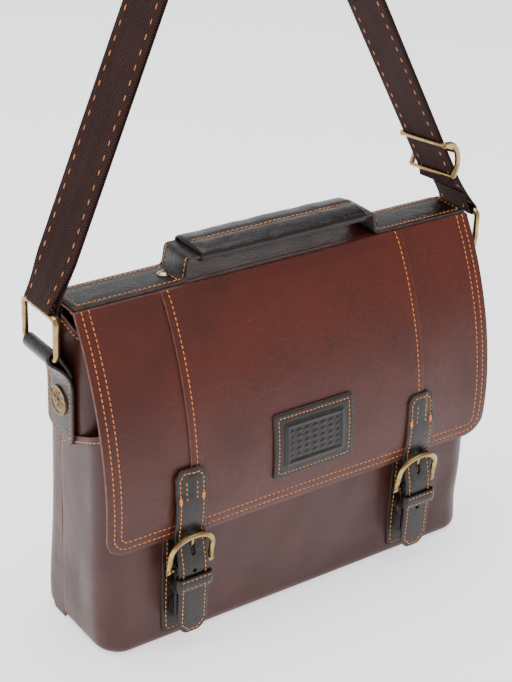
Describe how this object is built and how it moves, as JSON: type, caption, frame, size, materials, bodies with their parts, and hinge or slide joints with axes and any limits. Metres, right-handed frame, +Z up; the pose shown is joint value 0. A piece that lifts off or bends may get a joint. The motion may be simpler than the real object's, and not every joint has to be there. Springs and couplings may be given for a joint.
{
  "type": "satchel bag",
  "caption": "Leather satchel bag with a buckled fold-over flap, a grab handle on top and a webbing shoulder strap standing over it on side rings.",
  "frame": {"origin": "on the floor at the centre of the base panel's underside", "axes": "+Z up, -Y towards the flap's front, +X towards the ring with the slider beside it"},
  "size_m": [0.407, 0.1282, 0.6413],
  "materials": {
    "brown_leather": "waxed, pull-up",
    "dark_leather": "matt grained",
    "antique_brass": "antique satin",
    "snap_steel": "satin",
    "board": "fibre board",
    "lining_cloth": "cotton twill",
    "padding": "felt",
    "webbing": "ribbed webbing"
  },
  "bodies": {
    "bag": {"base_panel": "brown_leather", "base_board": "board", "front_panel": "brown_leather", "back_panel": "brown_leather", "main_wall": "brown_leather", "lining": "lining_cloth", "left_patch": "dark_leather", "right_patch": "dark_leather", "left_snap_socket": "snap_steel", "right_snap_socket": "snap_steel", "left_tab": "dark_leather", "right_tab": "dark_leather", "left_medallion": "dark_leather", "right_medallion": "dark_leather"},
    "flap_top": {"flap_top_panel": "brown_leather", "handle_strap": "dark_leather", "handle_grip": "dark_leather", "grip_padding": "padding", "handle_rivets": "antique_brass", "rivet_washers": "antique_brass"},
    "flap_front": {"flap_centre_panel": "brown_leather", "flap_left_panel": "brown_leather", "flap_right_panel": "brown_leather", "flap_stiffener": "board", "flap_lining": "lining_cloth", "badge": "dark_leather", "badge_inlay": "dark_leather", "left_billet_top": "dark_leather", "right_billet_top": "dark_leather"},
    "left_closure": {"left_billet": "dark_leather", "left_chape": "dark_leather", "left_keeper": "dark_leather", "left_snap_stud": "snap_steel"},
    "left_buckle": {"left_buckle_frame": "antique_brass"},
    "left_prong": {"left_prong": "antique_brass"},
    "right_closure": {"right_billet": "dark_leather", "right_chape": "dark_leather", "right_keeper": "dark_leather", "right_snap_stud": "snap_steel"},
    "right_buckle": {"right_buckle_frame": "antique_brass"},
    "right_prong": {"right_prong": "antique_brass"},
    "strap": {"shoulder_strap": "webbing", "left_tab_loop": "dark_leather", "right_tab_loop": "dark_leather", "left_ring": "antique_brass", "right_ring": "antique_brass"},
    "slider": {"slider_frame": "antique_brass", "slider_bar": "antique_brass"}
  },
  "joints": [
    {"name": "flap_top_hinge", "type": "hinge", "parent": "bag", "child": "flap_top", "pos_m": [0, 0.0315, 0.277], "axis": [-1, 0, 0], "range_deg": [0, 11]},
    {"name": "flap_fold", "type": "hinge", "parent": "flap_top", "child": "flap_front", "pos_m": [0, -0.0185, 0.2842], "axis": [-1, 0, 0], "range_deg": [0, 120]},
    {"name": "left_closure_swing", "type": "hinge", "parent": "flap_front", "child": "left_closure", "pos_m": [-0.1145, -0.0677, 0.133], "axis": [-1, 0, 0], "range_deg": [0, 90]},
    {"name": "left_buckle_tilt", "type": "hinge", "parent": "left_closure", "child": "left_buckle", "pos_m": [-0.1145, -0.0665, 0.074], "axis": [1, 0, 0], "range_deg": [0, 3]},
    {"name": "left_prong_lift", "type": "hinge", "parent": "left_buckle", "child": "left_prong", "pos_m": [-0.1145, -0.0665, 0.074], "axis": [1, 0, 0], "range_deg": [0, 2]},
    {"name": "right_closure_swing", "type": "hinge", "parent": "flap_front", "child": "right_closure", "pos_m": [0.109, -0.0677, 0.133], "axis": [-1, 0, 0], "range_deg": [0, 90]},
    {"name": "right_buckle_tilt", "type": "hinge", "parent": "right_closure", "child": "right_buckle", "pos_m": [0.109, -0.0665, 0.074], "axis": [1, 0, 0], "range_deg": [0, 3]},
    {"name": "right_prong_lift", "type": "hinge", "parent": "right_buckle", "child": "right_prong", "pos_m": [0.109, -0.0665, 0.074], "axis": [1, 0, 0], "range_deg": [0, 2]},
    {"name": "strap_lean", "type": "hinge", "parent": "bag", "child": "strap", "pos_m": [0, 0.008, 0.232], "axis": [-1, 0, 0], "range_deg": [-40, 40]},
    {"name": "slider_travel", "type": "slide", "parent": "strap", "child": "slider", "axis": [-0.499, 0, 0.8666], "range_m": [0, 0.04]}
  ]
}
